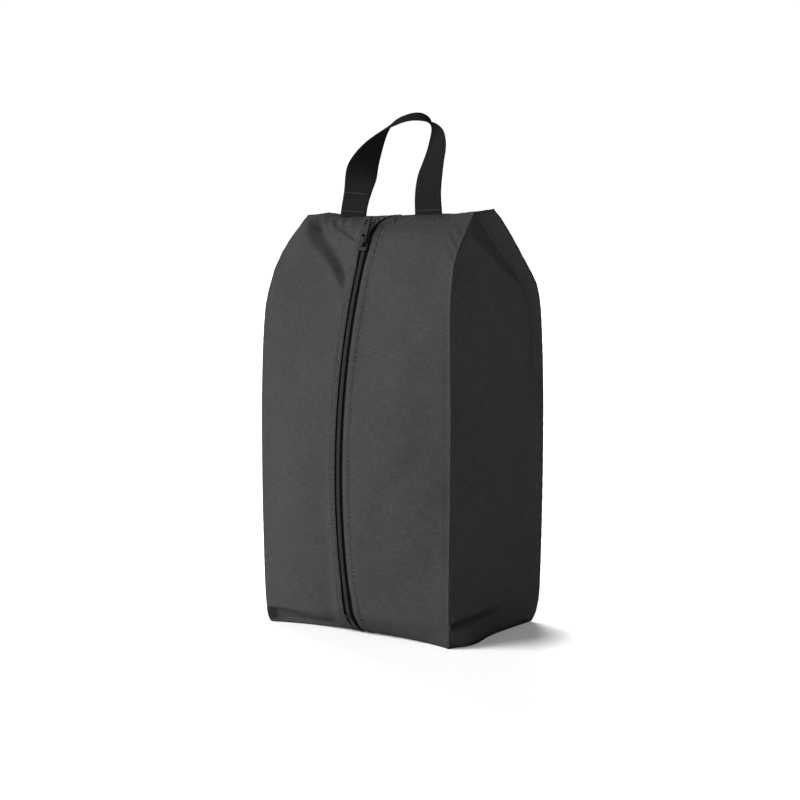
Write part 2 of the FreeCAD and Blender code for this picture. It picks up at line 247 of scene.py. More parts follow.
def cloth_mat(name, dark, light, rough=0.62, pitch=0.42, bump=0.35, sheen=0.03, spec=0.12):
    """Plain-weave nylon: crossing yarns in the cloth's own millimetres, slubs and soft colour drift."""
    m, nt, bs = new_mat(name)
    uv = nt.nodes.new("ShaderNodeUVMap"); uv.uv_map = "UVMap"
    sep = nt.nodes.new("ShaderNodeSeparateXYZ"); link(nt, uv.outputs[0], sep.inputs[0])
    k = 2 * math.pi / pitch
    su = math_node(nt, "SINE", math_node(nt, "MULTIPLY", sep.outputs[0], k))
    sv = math_node(nt, "SINE", math_node(nt, "MULTIPLY", sep.outputs[1], k))
    weave = math_node(nt, "MULTIPLY", su, sv)
    slub = nt.nodes.new("ShaderNodeTexNoise"); slub.inputs["Scale"].default_value = 0.9
    slub.inputs["Detail"].default_value = 5.0; link(nt, uv.outputs[0], slub.inputs["Vector"])
    drift = nt.nodes.new("ShaderNodeTexNoise"); drift.inputs["Scale"].default_value = 0.022
    drift.inputs["Detail"].default_value = 3.0; link(nt, uv.outputs[0], drift.inputs["Vector"])
    streaks = []
    for fu, fv, off in ((0.11, 1.35, 3.0), (1.35, 0.11, 41.0)):
        cx = nt.nodes.new("ShaderNodeCombineXYZ")
        link(nt, math_node(nt, "MULTIPLY", sep.outputs[0], fu), cx.inputs[0])
        link(nt, math_node(nt, "MULTIPLY", sep.outputs[1], fv), cx.inputs[1])
        cx.inputs[2].default_value = off
        nz = nt.nodes.new("ShaderNodeTexNoise"); nz.inputs["Scale"].default_value = 1.0
        nz.inputs["Detail"].default_value = 3.0; link(nt, cx.outputs[0], nz.inputs["Vector"])
        streaks.append(nz.outputs["Fac"])
    yarns = math_node(nt, "ADD", streaks[0], streaks[1])
    tone = math_node(nt, "ADD", math_node(nt, "MULTIPLY", weave, 0.14),
                     math_node(nt, "ADD", math_node(nt, "MULTIPLY", slub.outputs["Fac"], 0.30),
                               math_node(nt, "MULTIPLY", drift.outputs["Fac"], 0.10)))
    tone = math_node(nt, "ADD", tone, math_node(nt, "MULTIPLY", yarns, 0.32))
    ramp = nt.nodes.new("ShaderNodeValToRGB"); link(nt, tone, ramp.inputs[0])
    ramp.color_ramp.elements[0].position = 0.44
    ramp.color_ramp.elements[0].color = (*dark, 1)
    ramp.color_ramp.elements[1].position = 0.62
    ramp.color_ramp.elements[1].color = (*light, 1)
    link(nt, ramp.outputs[0], bs.inputs["Base Color"])
    rr = nt.nodes.new("ShaderNodeMapRange"); link(nt, slub.outputs["Fac"], rr.inputs[0])
    rr.inputs["To Min"].default_value = rough - 0.06; rr.inputs["To Max"].default_value = rough + 0.08
    link(nt, rr.outputs[0], bs.inputs["Roughness"])
    h = math_node(nt, "ADD", math_node(nt, "MULTIPLY", weave, 0.5), math_node(nt, "MULTIPLY", slub.outputs["Fac"], 0.7))
    h = math_node(nt, "ADD", h, math_node(nt, "MULTIPLY", yarns, 0.9))
    bp = nt.nodes.new("ShaderNodeBump"); bp.inputs["Strength"].default_value = bump
    bp.inputs["Distance"].default_value = 0.00012
    link(nt, h, bp.inputs["Height"]); link(nt, bp.outputs[0], bs.inputs["Normal"])
    bs.inputs["Sheen Weight"].default_value = sheen
    bs.inputs["Sheen Roughness"].default_value = 0.45
    bs.inputs["Specular IOR Level"].default_value = spec
    return m


def webbing_mat(name, dark, light):
    """Herringbone webbing: slanting yarns that reverse across four bands, and ribs."""
    m, nt, bs = new_mat(name)
    uv = nt.nodes.new("ShaderNodeUVMap"); uv.uv_map = "UVMap"
    sep = nt.nodes.new("ShaderNodeSeparateXYZ"); link(nt, uv.outputs[0], sep.inputs[0])
    band = 3.75
    tri = math_node(nt, "PINGPONG", sep.outputs[0], band)
    slant = math_node(nt, "ADD", sep.outputs[1], tri)
    yarn = math_node(nt, "SINE", math_node(nt, "MULTIPLY", slant, 2 * math.pi / 1.5))
    rib = math_node(nt, "SINE", math_node(nt, "MULTIPLY", sep.outputs[0], 2 * math.pi / 0.75))
    nz = nt.nodes.new("ShaderNodeTexNoise"); nz.inputs["Scale"].default_value = 1.4
    nz.inputs["Detail"].default_value = 4.0; link(nt, uv.outputs[0], nz.inputs["Vector"])
    tone = math_node(nt, "ADD", math_node(nt, "MULTIPLY", yarn, 0.34),
                     math_node(nt, "ADD", math_node(nt, "MULTIPLY", rib, 0.08), nz.outputs["Fac"]))
    ramp = nt.nodes.new("ShaderNodeValToRGB"); link(nt, tone, ramp.inputs[0])
    ramp.color_ramp.elements[0].position = 0.16; ramp.color_ramp.elements[0].color = (*dark, 1)
    ramp.color_ramp.elements[1].position = 0.88; ramp.color_ramp.elements[1].color = (*light, 1)
    link(nt, ramp.outputs[0], bs.inputs["Base Color"])
    h = math_node(nt, "ADD", math_node(nt, "MULTIPLY", yarn, 0.6),
                  math_node(nt, "ADD", math_node(nt, "MULTIPLY", rib, 0.25), math_node(nt, "MULTIPLY", nz.outputs["Fac"], 0.5)))
    bp = nt.nodes.new("ShaderNodeBump"); bp.inputs["Strength"].default_value = 0.8
    bp.inputs["Distance"].default_value = 0.0003
    link(nt, h, bp.inputs["Height"]); link(nt, bp.outputs[0], bs.inputs["Normal"])
    bs.inputs["Roughness"].default_value = 0.7
    bs.inputs["Sheen Weight"].default_value = 0.003
    bs.inputs["Specular IOR Level"].default_value = 0.0
    return m


def simple_mat(name, dark, light, rough, scale, metallic=0.0, bump=0.2, dist=0.00005, spec=0.5, coat=0.0):
    """Small hard parts: fine grain in colour, roughness and height."""
    m, nt, bs = new_mat(name)
    tc = nt.nodes.new("ShaderNodeTexCoord")
    nz = nt.nodes.new("ShaderNodeTexNoise"); nz.inputs["Scale"].default_value = scale
    nz.inputs["Detail"].default_value = 6.0; link(nt, tc.outputs["Object"], nz.inputs["Vector"])
    ramp = nt.nodes.new("ShaderNodeValToRGB"); link(nt, nz.outputs["Fac"], ramp.inputs[0])
    ramp.color_ramp.elements[0].position = 0.3; ramp.color_ramp.elements[0].color = (*dark, 1)
    ramp.color_ramp.elements[1].position = 0.7; ramp.color_ramp.elements[1].color = (*light, 1)
    link(nt, ramp.outputs[0], bs.inputs["Base Color"])
    rr = nt.nodes.new("ShaderNodeMapRange"); link(nt, nz.outputs["Fac"], rr.inputs[0])
    rr.inputs["To Min"].default_value = rough - 0.07; rr.inputs["To Max"].default_value = rough + 0.07
    link(nt, rr.outputs[0], bs.inputs["Roughness"])
    bp = nt.nodes.new("ShaderNodeBump"); bp.inputs["Strength"].default_value = bump
    bp.inputs["Distance"].default_value = dist
    link(nt, nz.outputs["Fac"], bp.inputs["Height"]); link(nt, bp.outputs[0], bs.inputs["Normal"])
    bs.inputs["Metallic"].default_value = metallic
    bs.inputs["Specular IOR Level"].default_value = spec
    bs.inputs["Coat Weight"].default_value = coat
    return m


M_SHELL = cloth_mat("shell_cloth", (0.0135, 0.0135, 0.0139), (0.0246, 0.0246, 0.0253), rough=0.66, sheen=0.004, spec=0.0)
M_WEB = webbing_mat("webbing", (0.0012, 0.0012, 0.0013), (0.0105, 0.0105, 0.0110))
M_TAPE = cloth_mat("zip_tape", (0.0016, 0.0016, 0.0017), (0.003, 0.003, 0.0032), rough=0.85, pitch=0.7, bump=0.5, sheen=0.0, spec=0.04)
M_COIL = simple_mat("zip_coil", (0.008, 0.008, 0.0085), (0.013, 0.013, 0.0135), 0.5, 900.0, spec=0.08)
M_METAL = simple_mat("slider_metal", (0.003, 0.003, 0.0033), (0.006, 0.006, 0.0063), 0.5, 500.0, bump=0.1, spec=0.05)
M_THREAD = simple_mat("thread", (0.010, 0.010, 0.0105), (0.020, 0.020, 0.021), 0.75, 2500.0, bump=0.6, dist=0.0001, spec=0.3)
M_BIND = cloth_mat("binding", (0.010, 0.010, 0.011), (0.016, 0.016, 0.017), rough=0.8, pitch=0.9, bump=0.6)

# ------------------------------------------------------------------ front halves
LIPX = 4.6
NV = 430
COLS = np.r_[np.linspace(0, 0.17, 26)[:-1], np.linspace(0.17, 0.86, 40)[:-1], np.linspace(0.86, 1, 18)]
NU = len(COLS)
STITCH = {-1: 4.0, 1: 7.6}                       # stitch line, from the lip edge


def ramp_profile(sd, w, high, low, out_pos, out_neg):
    """Across a fold: high on the positive side, a steep face of width w, low on the negative side, both dying away."""
    t = np.clip(sd / w + 0.5, 0, 1)
    t = t * t * (3 - 2 * t)
    mid = low + (high - low) * t
    up = high * np.exp(-np.maximum(sd - w / 2, 0) / out_pos)
    dn = low * np.clip(1 + (sd + w / 2) / out_neg, 0, 1)
    return np.where(sd > w / 2, up, np.where(sd < -w / 2, dn, mid))


def front_grid(sgn):
    line, seamz, s = resample(LIPLINE, SEAMLINE, NV)
    yc, zc = line[:, 0], line[:, 1]
    W = smooth_interp(seamz, SEAM[:, 0], SEAM[:, 1])
    ys = smooth_interp(seamz, SEAM[:, 0], SEAM[:, 2])
    U, _ = np.meshgrid(COLS, np.arange(NV))
    q = U ** 2.15
    lip = LIPX + 1.1 * (1 - sstep(zc, 34, 56)) * sstep(zc, 6, 16) + 0.9 * sstep(zc, 338, 352) * (1 - sstep(zc, 374, 384))
    X = lip[:, None] + (W[:, None] - 0.2 - lip[:, None]) * U
    Y = yc[:, None] + (ys - yc)[:, None] * q
    Z = zc[:, None] + (seamz - zc)[:, None] * q
    P = np.stack([sgn * X, Y, Z], 2)
    N = normals(P)
    if N[NV // 2, 10, 1] > 0:
        N = -N
    x, z, su = sgn * X, Z, X - lip[:, None]
    S = np.broadcast_to(s[:, None], X.shape)
    edge = W[:, None] - X
    keep = sstep(su, 1.5, 14)                     # the zip lip stays on its line
    low, high = sstep(Z, 2, 26), 1 - sstep(Z, 372, 387)
    d = np.zeros(X.shape)
    d += 1.0 * field(11 if sgn < 0 else 12, 10, 90, 190)(x, z) * keep * low * high * sstep(edge, 0, 22)
    d += 0.26 * field(21 if sgn < 0 else 22, 14, 26, 60)(x, z) * keep * low * sstep(edge, 0, 10)
    # shallow drag lines from the ends of the side seams towards the zip
    lines = ([((-100, 120), (-60, 96), (-14, 84)), ((-98, 262), (-60, 250), (-20, 232)), ((-96, 60), (-60, 66), (-24, 88))] if sgn < 0 else
             [((98, 322), (70, 262), (44, 170)), ((102, 210), (64, 150), (22, 96)), ((96, 60), (60, 74), (20, 120)), ((20, 330), (40, 290), (54, 230))])
    for k, l in enumerate(lines):
        sd, al = polyline_dist(x, z, l)
        d += (0.9, -0.8, 0.7, -0.7)[k] * np.sin(np.pi * np.clip(al, 0, 1)) ** 1.2 * bump01(sd, 11.0) * keep * sstep(edge, 0, 14)
    # gathered lip: uneven short waves across the zip seam, dying out past the stitch line
    st = STITCH[sgn]
    r1, r1b = ripple(31 if sgn < 0 else 32, 7.5), ripple(33 if sgn < 0 else 34, 3.6)
    patch = 0.55 + 0.45 * ripple(35 if sgn < 0 else 36, 60)(S)
    d += 0.42 * r1(S + 0.35 * su) * bump01(su - st * 0.7, 4.0) * sstep(su, 0.5, 2.5) * patch
    d += 0.62 * r1b(S - 0.5 * su) * bump01(su - st, 2.2) * sstep(su, 0.5, 2.0)
    d -= 0.75 * bump01(su - st, 0.9)              # stitch line pulls in
    d += 0.30 * bump01(su - st * 0.42, st * 0.3) - 0.5 * bump01(su, 0.7)
    # seam side: faint uneven puckers
    r2, r2b = ripple(41 if sgn < 0 else 42, 11.0), ripple(43 if sgn < 0 else 44, 4.6)
    wob = sstep(ripple(45 if sgn < 0 else 46, 70)(S), -0.3, 0.9)
    d += (0.22 * r2(S - 0.8 * edge) + 0.14 * r2b(S + 0.5 * edge)) * bump01(edge - 4.5, 3.6) * low * wob
    d += 0.12 * bump01(edge, 1.4) - 0.22 * bump01(edge - 4.0, 1.4)
    # puckers where the side seam runs over the shoulder, and along the top seam
    r3 = ripple(47 if sgn < 0 else 48, 8.0)
    d += 0.24 * r3(Z * 0.75 + X * 0.66) * bump01(edge - 7, 7.0) * sstep(Z, 318, 345) * high
    topd = 387.5 - Z
    r4, r5 = ripple(49, 13.0), ripple(50, 5.0)
    d += (0.42 * r4(X + 1.4 * topd) + 0.22 * r5(X - 0.8 * topd)) * bump01(topd - 5, 6.0) * sstep(edge, 2, 12) * sstep(su, 3, 12)
    d -= 0.35 * bump01(topd - 2.4, 1.2) * sstep(su, 3, 12)
    if sgn < 0:
        # upper left: a fold from the top seam down and in, its steep face turned up and to the zip
        sd, al = polyline_dist(x, z, [(-88, 391), (-81, 384), (-65.0, 369), (-45.0, 356), (-29.5, 341.8), (-16.2, 322.7), (-12, 306)])
        along = sstep(al, 0.0, 0.12) * (1 - sstep(al, 0.66, 1.0))
        w = 18.0 - 12.0 * np.clip(al, 0, 1)
        d += along * ramp_profile(sd, w, 2.2, -5.4, 22.0, 30.0) * sstep(su, 2, 12) * sstep(topd, 0.5, 11)
        # crease that closes the light triangle under the gathered top
        sd2, al2 = polyline_dist(x, z, [(-65.8, 384.9), (-48, 379.5), (-30.3, 372.6), (-8.2, 362.3)])
        e2 = sstep(al2, 0, 0.2) * (1 - sstep(al2, 0.8, 1.0)) * sstep(su, 1, 8)
        d += e2 * ramp_profile(sd2, 3.0, 1.1, -0.9, 14.0, 12.0)
        # lower left: cloth turned under along a soft line, and a shallow hollow beside the zip
        zl = 15.0 + 1.2 * np.sin(x / 17.0)
        m = sstep(-x, 18, 36)
        d += 1.2 * m * bump01(Z - zl - 2.5, 5.0) * sstep(edge, 0, 6)
        UNDER = (m * sstep(edge, 0.3, 7), zl)
        d -= 2.2 * bump01(x + 20, 11) * bump01(Z - 32, 24) * keep
    else:
        d += 0.8 * bump01(Z - 384, 5) * bump01(x - 45, 26)
        sd3, al3 = polyline_dist(x, z, [(10, 362), (30, 356), (58, 357)])
        d -= 0.7 * bump01(sd3, 5) * np.sin(np.pi * np.clip(al3, 0, 1)) * keep
        sd3, al3 = polyline_dist(x, z, [(95, 372), (84, 352), (80, 322)])
        d -= 0.8 * bump01(sd3, 4) * np.sin(np.pi * np.clip(al3, 0, 1))
    P[..., 0] += sgn * 0.30 * r1b(S * 0.8 + 5.0) * bump01(su, 1.6) * sstep(Z, 50, 60) * (1 - sstep(Z, 330, 340))
    P = P + N * d[..., None]
    if sgn < 0:
        # below the line the cloth steps back sharply and then runs down to the base
        m, zl = UNDER
        below = np.clip((zl - Z) / 3.0, 0, 1)
        P[..., 1] += 7.5 * m * below * sstep(Z, 0.4, 7.0)
    uv = np.stack([X, S], 2)
    return P, uv, s


def weld_rows(P):
    """Nothing under the floor, and the top's outer corners stand a little higher, most at the back."""
    P[..., 2] = np.maximum(P[..., 2], 0.35)
    s = sstep(np.abs(P[..., 0]), 60, 97) * sstep(P[..., 2], 345, 388)
    P[..., 2] += s * (2.2 + 3.2 * np.clip((P[..., 1] + 23.4) / 32.0, 0, 1))
    return P


def split_rows(P, zcut=200.0):
    return int(np.argmin(np.abs(P[:, 0, 2] - zcut)))


fronts = {}
for side, sgn in (("left", -1), ("right", 1)):
    P, uv, s = front_grid(sgn)
    P = weld_rows(P)
    fronts[side] = P
    c = split_rows(P)
    flip = sgn > 0
    for part, rows, rims in (("lower", slice(0, c + 1), (1, 0, 1, 1)), ("upper", slice(c, None), (0, 1, 1, 1))):
        probe = normals(P)[NV // 2, 10, 1]
        fl = probe > 0
        ob = sheet_obj("front_%s_%s" % (side, part), P[rows], uv[rows], M_SHELL, 0.9, flip=fl, rims=rims)
        if part == "lower":
            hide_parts("front_lower_" + side, "front_%s_panel" % side)
            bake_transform(ob)
        else:
            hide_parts("front_upper_" + side, "front_%s_panel" % side)
            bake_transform(ob)

# ------------------------------------------------------------------ side gussets
CREASE = [(-46, 372), (-42, 366.7), (-17, 352.6), (8.8, 336.2), (33.8, 323.1), (45.2, 302.5), (47.9, 267.8), (47, 225)]


def flare(Y, sgn):
    """How far the foot of the gusset spreads outward: only the right one, towards the front."""
    return (8.5 if sgn > 0 else 2.0) * np.exp(-((Y + 46.0) / 30.0) ** 2) * sstep(Y, -76.0, -56.0)


def gusset_grid(sgn, n=260, m=110):
    z = np.r_[np.linspace(0.5, 40, 62), np.linspace(40, 387.0, n - 61)[1:]]
    W = smooth_interp(z, SEAM[:, 0], SEAM[:, 1])
    a = smooth_interp(z, SEAM[:, 0], SEAM[:, 2]) + 0.35
    b = smooth_interp(z, SEAM[:, 0], SEAM[:, 3]) - 0.35
    k = np.linspace(0, 1, m)
    Y = a[:, None] + (b - a)[:, None] * k
    Z = np.broadcast_to(z[:, None], Y.shape).copy()
    X = np.broadcast_to(W[:, None], Y.shape).copy()
    span = b - a
    fe, be = Y - a[:, None], b[:, None] - Y
    inside = sstep(fe, 0, 14) * sstep(be, 0, 14)
    d = 1.8 * np.sin(np.pi * k)[None, :] * np.clip(span / 160, 0, 1)[:, None] * sstep(Z, 0, 60)
    d -= 0.45 * bump01(fe, 1.3) + 0.45 * bump01(be, 1.3)
    d += 0.55 * field(51 if sgn > 0 else 52, 10, 110, 220)(Y, Z) * inside * sstep(Z, 4, 40) * (1 - sstep(Z, 350, 385))
    d += 0.14 * field(61 if sgn > 0 else 62, 14, 30, 70)(Y, Z) * inside
    rf, rb = ripple(71, 10.5), ripple(72, 11.5)
    d += 0.16 * rf(Z) * bump01(fe - 5, 4.5) + 0.22 * rb(Z) * bump01(be - 5, 4.5)
    crease = CREASE if sgn > 0 else [(-44, 372), (-20, 352), (8, 334), (32, 314), (42, 288), (42, 240)]
    sd, al = polyline_dist(Y, Z, crease)
    # sd is positive in front of and below the crease
    if np.mean(sd[(Z > 100) & (Z < 150)]) < 0:
        sd = -sd
    fall = sstep(al, 0.0, 0.12) * (1 - sstep(al, 0.66, 1.0))
    rear = np.maximum(-sd, 0) / (np.maximum(-sd, 0) + np.maximum(be, 0.01) * 0.82)
    ahead = np.maximum(sd, 0) / (np.maximum(sd, 0) + np.maximum(fe, 0.01) * 0.9 + 18)
    prof = np.where(sd < 0, np.interp(rear, [0, 0.5, 0.66, 1.0], [5.2, -7.4, -6.6, 0.0]), 5.2 * (1 - ahead) ** 1.6)
    d += prof * fall * sstep(fe, 0, 9) * sstep(be, 0, 5)
    # lower edge: a crease about 23 mm up that fades to the back, the cloth below it bellying out
    zl = 20.5 + 0.045 * (Y + 78)
    f2 = 1 - sstep(Y, -22 if sgn > 0 else 20, 40 if sgn > 0 else 60)
    near = sstep(fe, 0, 2.5)
    d -= (5.6 if sgn > 0 else 3.0) * f2 * bump01(Z - zl, 2.0 if sgn > 0 else 2.6) * near
    d += 2.2 * f2 * bump01(Z - zl + 6, 4.5) * sstep(fe, 0, 5)
    d += 1.6 * f2 * bump01(Z - zl - 8, 6.5) * sstep(fe, 0, 5)
    d += flare(Y, sgn) * np.clip(1 - Z / zl, 0, 1) ** 1.2
    if sgn > 0:
        d -= 2.6 * bump01(fe - 2.0, 2.0) * (1 - sstep(Z, 24, 33))
    X = X + d - 2.2 * (1 - sstep(Z, 0.0, 7.0)) * sstep(fe, 0, 6) * sstep(be, 0, 6)
    P = np.stack([sgn * X, Y, Z], 2)
    uv = np.stack([Y, Z], 2)
    return P, uv


for side, sgn in (("left", -1), ("right", 1)):
    P, uv = gusset_grid(sgn)
    P = weld_rows(P)
    nx = normals(P)[100, 40, 0] * sgn
    ob = sheet_obj("gusset_" + side, P, uv, M_SHELL, 0.9, flip=nx < 0)
    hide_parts("side_gusset_" + side)
    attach(ob, "bag")

# ------------------------------------------------------------------ seam allowance inside the front seams
for side, sgn in (("left", -1), ("right", 1)):
    z = np.linspace(16, 366, 150)
    W = smooth_interp(z, SEAM[:, 0], SEAM[:, 1])[:, None]
    a = smooth_interp(z, SEAM[:, 0], SEAM[:, 2])[:, None]
    inn = np.array([-0.6, 0.3, 1.5, 4.0, 7.0, 9.0])[None, :]
    dep = np.array([2.4, 1.2, 1.25, 1.6, 1.9, 2.2])[None, :]
    rr = ripple(97 + (sgn > 0), 12.0)(z)[:, None] * 0.25 * sstep(inn, 1.5, 9)
    P = np.stack([sgn * (W - inn), a + dep + rr, np.broadcast_to(z[:, None], (150, 6))], 2)
    ob = sheet_obj("seam_allowance_" + side, P, np.stack([P[..., 0], P[..., 2]], 2), M_SHELL, 0.5, flip=normals(P)[75, 4, 1] > 0)
    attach(ob, "bag")

# ------------------------------------------------------------------ back
def back_grid(n=230, m=130):
    zs = np.r_[np.linspace(0.6, 24, 16), np.linspace(24, 387.4, n - 15)[1:]]
    W = smooth_interp(zs, SEAM[:, 0], SEAM[:, 1])
    ys = smooth_interp(zs, SEAM[:, 0], SEAM[:, 3])
    tab = np.array([(0.6, 66.5, 0.6), (5, 72.5, 4), (14, 81.5, 13), (30, 90, 29), (60, 96.5, 60), (110, 100.6, 110), (150, 101.2, 150),
                    (200, 99.6, 200), (250, 96.0, 250), (290, 91.5, 291), (312, 86, 314), (330, 76, 333), (348, 60, 351.5),
                    (362, 46, 366), (374, 31, 377.5), (383, 17, 385), (387.4, 8.4, 387.4)])
    yc = smooth_interp(zs, tab[:, 0], tab[:, 1])
    zc = smooth_interp(zs, tab[:, 0], tab[:, 2])
    u = np.linspace(-1, 1, m)
    q = np.abs(u)[None, :] ** 2.2
    X = (W - 0.2)[:, None] * u[None, :]
    Y = yc[:, None] + (ys - yc)[:, None] * q
    Z = zc[:, None] + (zs - zc)[:, None] * q
    P = np.stack([X, Y, Z], 2)
    N = normals(P)
    if N[n // 2, m // 2, 1] < 0:
        N = -N
    edge = W[:, None] - np.abs(X)
    low, high = sstep(Z, 2, 30), 1 - sstep(Z, 366, 386)
    d = 1.6 * field(81, 10, 90, 200)(X, Z) * sstep(edge, 0, 24) * low * high
    d += 0.4 * field(82, 14, 26, 64)(X, Z) * sstep(edge, 0, 10) * low
    r = ripple(83, 10.0)
    d += 0.42 * r(Z) * bump01(edge - 5, 4.2)
    d += 0.55 * bump01(edge, 1.6) - 0.30 * bump01(edge - 4.2, 2.0)
    sd, al = polyline_dist(X, Z, [(70, 372), (48, 352), (34, 326), (30, 296)])
    d -= 1.6 * np.sin(np.pi * np.clip(al, 0, 1)) * bump01(sd, 6)
    sd, al = polyline_dist(X, Z, [(-82, 356), (-58, 338), (-44, 312)])
    d -= 1.3 * np.sin(np.pi * np.clip(al, 0, 1)) * bump01(sd, 6)
    P = P + N * d[..., None]
    P[..., 2] = np.maximum(P[..., 2], 0.35)
    P[..., 1] = np.minimum(P[..., 1], 108)
    return P, np.stack([X, Z], 2), N


P, uv, N = back_grid()
P = weld_rows(P)
ob = sheet_obj("back", P, uv, M_SHELL, 0.9, flip=normals(P)[115, 65, 1] < 0)
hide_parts("back_panel"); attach(ob, "bag")

# ------------------------------------------------------------------ top and bottom
def top_half(sgn, n=90, m=34):
    """Half of the top panel; beside the zip it is cut back to the lip as far as the zip's end."""
    x = np.linspace(0, 1, n)
    y0, y1 = -23.4, 8.6
    v = np.linspace(0, 1, m)
    Yv = y0 + (y1 - y0) * v
    slit = 1 - sstep(Yv, -7.5, -3.0)
    inner = 0.02 + (LIPX - 0.02) * slit
    X = inner[None, :] + (95.2 - inner[None, :]) * x[:, None]
    Y = np.broadcast_to(Yv[None, :], X.shape)
    Z = 387.4 + 0.9 * np.sin(np.pi * v)[None, :] * sstep(95.2 - X, 0, 20)
    Z = Z + 0.45 * field(91 + (sgn > 0), 8, 30, 80)(X * sgn, Y) * np.sin(np.pi * v)[None, :] * sstep(X, 6, 20)
    Z = Z + 0.25 * ripple(93, 8.0)(X) * (bump01(Y - y0 - 3, 2.5) + bump01(y1 - Y - 3, 2.5)) * sstep(X, 6, 14)
    P = np.stack([sgn * X, Y, Z], 2)
    return P, np.stack([sgn * X, Y], 2)


for side, sgn in (("left", -1), ("right", 1)):
    P, uv = top_half(sgn)
    P = weld_rows(P)
    ob = sheet_obj("top_" + side, P, uv, M_SHELL, 0.9, flip=normals(P)[40, 15, 2] < 0)
    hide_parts("top_panel"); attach(ob, "bag")

xb = np.linspace(-1, 1, 80)
vb = np.linspace(0, 1, 60)
XB = 102.4 * xb[:, None] * np.ones(60)[None, :]
yf = -57.8 - (75.0 - 57.8) * np.abs(xb) ** 2.1
yb = 66.5 + (68.8 - 66.5) * np.abs(xb) ** 2.1
YB = yf[:, None] + (yb - yf)[:, None] * vb[None, :]
XB = XB + np.sign(xb)[:, None] * np.abs(xb)[:, None] ** 8 * np.where(xb[:, None] > 0, flare(YB, 1), flare(YB, -1))
ZB = 0.35 + 0.5 * (np.sin(np.pi * vb)[None, :] * (1 - xb[:, None] ** 2)) * 0.6
ob = sheet_obj("bottom", np.stack([XB, YB, ZB], 2), np.stack([XB, YB], 2), M_SHELL, -0.9,
               flip=normals(np.stack([XB, YB, ZB], 2))[40, 30, 2] < 0)
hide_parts("bottom_panel"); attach(ob, "bag")

# ------------------------------------------------------------------ zip: tape, coil, stitching
def offset_line(line, off):
    """The zip line moved out of the bag by off mm, with its tangent and outward normal (in the YZ plane)."""
    t = np.gradient(line, axis=0)
    t /= np.linalg.norm(t, axis=1, keepdims=True)
    n = np.stack([-t[:, 1], t[:, 0]], 1)        # y, z: left of the walk upward is out of the bag
    return line + n * off, t, n


fine, _, sfine = resample(np.vstack([LIPLINE, [(-14.0, 387.9), (-6.0, 388.0)]]),
                          np.r_[SEAMLINE, 387.6, 387.6], 1400)
COIL_BASE = -1.2                                 # coil's back relative to the lip line (its circle is 550)


def zpart(z, lo, hi):
    return (z >= lo) & (z <= hi)


def tape_piece(side, sgn, part):
    ln, t, n = offset_line(fine[::7], COIL_BASE - 0.5)
    sl = sfine[::7]
    c = int(np.argmin(np.abs(ln[:, 1] - 200)))
    rows = slice(0, c + 1) if part == "lower" else slice(c, None)
    ln, sl = ln[rows], sl[rows]
    xs = np.array([0.12, 1.2, 2.4, 3.8, 5.5, 8.0, 10.5, 12.8])
    X = sgn * xs[None, :] * np.ones((len(ln), 1))
    on_top = sstep(ln[:, 0], -40, -16)[:, None]
    wide = np.minimum(xs, 4.4)[None, :] * sgn
    X = X * (1 - on_top) + wide * on_top
    drop = 0.9 * sstep(xs, 3.2, 6.0)[None, :] * np.ones((len(ln), 1))
    nn = offset_line(fine[::7], 0)[2][rows]
    Y = ln[:, 0][:, None] - nn[:, 0][:, None] * drop
    Z = ln[:, 1][:, None] - nn[:, 1][:, None] * drop
    P = np.stack([X, Y, Z], 2)
    uv = np.stack([X, np.broadcast_to(sl[:, None], X.shape)], 2)
    probe = normals(P)
    out = (probe[..., 1] * nn[:, 0][:, None] + probe[..., 2] * nn[:, 1][:, None]).mean()
    return sheet_obj("tape_%s_%s" % (side, part), P, uv, M_TAPE, 0.45, flip=out < 0,
                     rims=(part == "lower", part == "upper", 1, 1))


def tube(points, radius, k=6, cap=True):
    pts = np.asarray(points, float)
    t = np.gradient(pts, axis=0)
    t /= np.linalg.norm(t, axis=1, keepdims=True)
    ref = np.array([0.0, 0.0, 1.0]) if abs(t[0, 2]) < 0.8 else np.array([1.0, 0, 0])
    V, F = [], []
    for i, (p, tt) in enumerate(zip(pts, t)):
        a = np.cross(tt, ref); a /= np.linalg.norm(a)
        b = np.cross(tt, a)
        r = radius[i] if hasattr(radius, "__len__") else radius
        for j in range(k):
            an = 2 * np.pi * j / k
            V.append(p + r * (np.cos(an) * a + np.sin(an) * b))
    for i in range(len(pts) - 1):
        for j in range(k):
            F.append((i * k + j, i * k + (j + 1) % k, (i + 1) * k + (j + 1) % k, (i + 1) * k + j))
    if cap:
        F.append(tuple(range(k))[::-1]); F.append(tuple(range((len(pts) - 1) * k, len(pts) * k)))
    return V, F


def merge(parts):
    V, F, o = [], [], 0
    for v, f in parts:
        V += list(v); F += [tuple(i + o for i in q) for q in f]; o += len(v)
    return V, F


def along(s):
    y = np.interp(s, sfine, fine[:, 0]); z = np.interp(s, sfine, fine[:, 1])
    e = 0.8
    ty = np.interp(s + e, sfine, fine[:, 0]) - np.interp(s - e, sfine, fine[:, 0])
    tz = np.interp(s + e, sfine, fine[:, 1]) - np.interp(s - e, sfine, fine[:, 1])
    L = math.hypot(ty, tz)
    ty, tz = ty / L, tz / L
    return np.array([y, z]), np.array([ty, tz]), np.array([-tz, ty])


S_AT200 = float(np.interp(200.0, fine[:, 1][:1300], sfine[:1300]))
PITCH = 1.5


